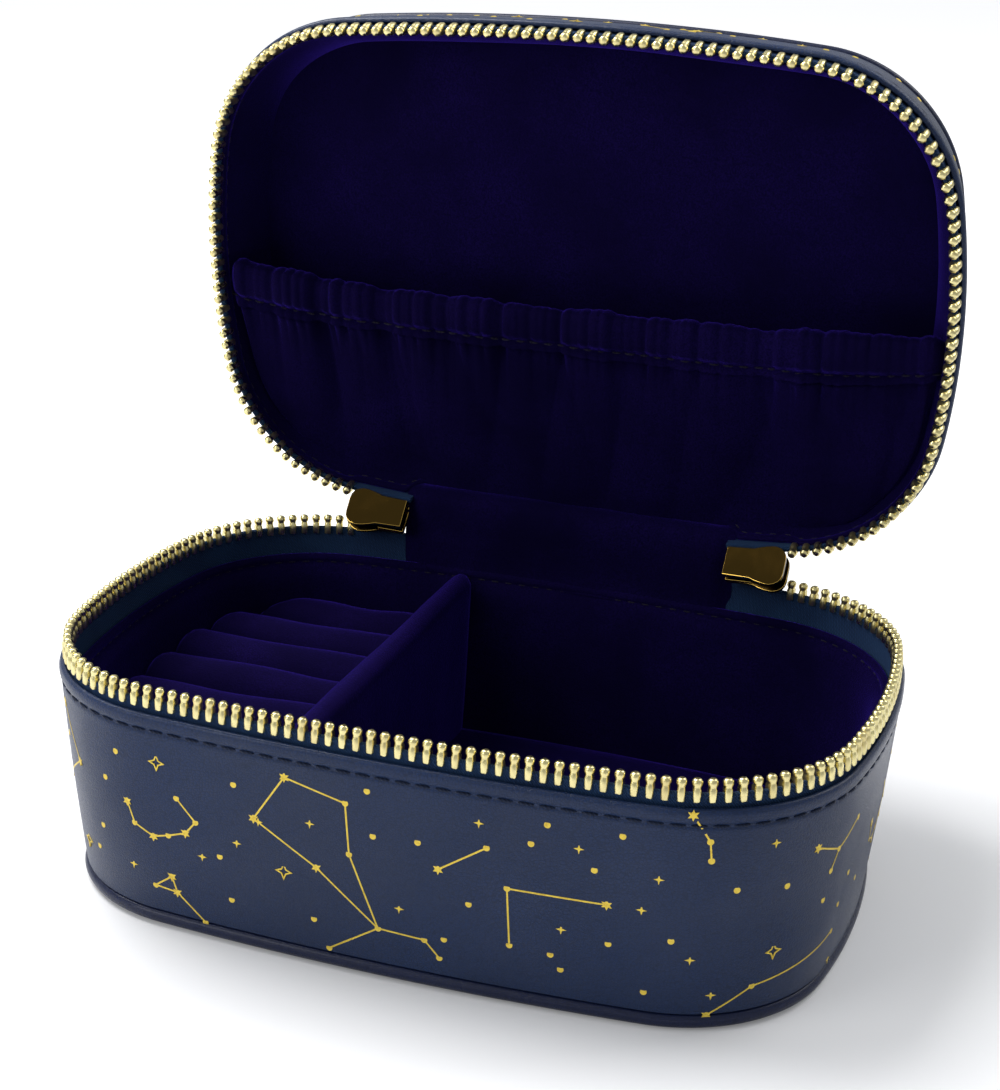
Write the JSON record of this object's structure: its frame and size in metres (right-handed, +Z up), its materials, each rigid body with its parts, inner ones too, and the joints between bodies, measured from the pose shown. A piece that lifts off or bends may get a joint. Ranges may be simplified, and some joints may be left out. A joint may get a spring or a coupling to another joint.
{
  "type": "zip-around jewelry case",
  "caption": "Rounded rectangular zip-around case with a hinged lid, velvet lining, ring rolls, a divider and a gathered lid pocket.",
  "frame": {"origin": "middle of the bottom face", "axes": "+Z up, the lid's hinge along X at the back (+Y), and the mouth's front at -Y"},
  "size_m": [0.1694, 0.1312, 0.1719],
  "materials": {
    "leatherette": "glossy navy leatherette, gold star-chart print on the walls",
    "welt": "glossy dark navy leatherette",
    "greyboard": "plain greyboard",
    "velvet": "deep blue velvet",
    "zip_tape": "woven navy tape",
    "zip_teeth": "polished pale brass",
    "slider_metal": "bright gold plating"
  },
  "bodies": {
    "base": {"bottom_cover": "leatherette", "bottom_board": "greyboard", "bottom_piping": "welt", "base_wall_cover": "leatherette", "base_wall_board": "greyboard", "base_wall_lining": "velvet", "base_floor_pad": "velvet", "base_zip_tape": "zip_tape", "base_zip_teeth": "zip_teeth", "divider": "velvet", "ring_pad_base": "velvet", "ring_roll_1": "velvet", "ring_roll_2": "velvet", "ring_roll_3": "velvet", "ring_roll_4": "velvet", "ring_roll_5": "velvet", "ring_roll_6": "velvet", "ring_roll_7": "velvet", "hinge_outer_strip": "welt", "hinge_inner_cover": "velvet"},
    "lid": {"lid_top_cover": "leatherette", "lid_top_board": "greyboard", "lid_piping": "welt", "lid_wall_cover": "leatherette", "lid_wall_board": "greyboard", "lid_wall_lining": "velvet", "lid_top_pad": "velvet", "lid_zip_tape": "zip_tape", "lid_zip_teeth": "zip_teeth", "pocket_hem": "velvet", "pocket_panel": "velvet"},
    "left_slider": {"left_slider": "slider_metal"},
    "left_pull_link": {"left_pull_link": "slider_metal"},
    "left_pull_tab": {"left_pull_tab": "slider_metal"},
    "right_slider": {"right_slider": "slider_metal"},
    "right_pull_link": {"right_pull_link": "slider_metal"},
    "right_pull_tab": {"right_pull_tab": "slider_metal"}
  },
  "joints": [
    {"name": "lid_hinge", "type": "hinge", "parent": "base", "child": "lid", "pos_m": [0, 0.0555, 0.05935], "axis": [-1, 0, 0], "range_deg": [-83, 50]},
    {"name": "left_slider_tilt", "type": "hinge", "parent": "base", "child": "left_slider", "pos_m": [0, 0.0555, 0.05935], "axis": [-1, 0, 0], "range_deg": [-41.5, 25]},
    {"name": "left_link_droop", "type": "hinge", "parent": "left_slider", "child": "left_pull_link", "pos_m": [-0.04559, 0.05466, 0.05295], "axis": [-1, 0, 0], "range_deg": [-25, 41.5]},
    {"name": "left_tab_swing", "type": "hinge", "parent": "left_pull_link", "child": "left_pull_tab", "pos_m": [-0.04581, 0.05668, 0.05117], "axis": [0, 0.6626, 0.749], "range_deg": [-50, 50]},
    {"name": "right_slider_tilt", "type": "hinge", "parent": "base", "child": "right_slider", "pos_m": [0, 0.0555, 0.05935], "axis": [-1, 0, 0], "range_deg": [-41.5, 25]},
    {"name": "right_link_droop", "type": "hinge", "parent": "right_slider", "child": "right_pull_link", "pos_m": [0.04559, 0.05466, 0.05295], "axis": [-1, 0, 0], "range_deg": [-25, 41.5]},
    {"name": "right_tab_swing", "type": "hinge", "parent": "right_pull_link", "child": "right_pull_tab", "pos_m": [0.04581, 0.05668, 0.05117], "axis": [0, 0.6626, 0.749], "range_deg": [-50, 50]}
  ],
  "couplings": [
    {"joint": "left_slider_tilt", "follows": "lid_hinge", "ratio": 0.5},
    {"joint": "left_link_droop", "follows": "lid_hinge", "ratio": -0.5},
    {"joint": "right_slider_tilt", "follows": "lid_hinge", "ratio": 0.5},
    {"joint": "right_link_droop", "follows": "lid_hinge", "ratio": -0.5}
  ]
}
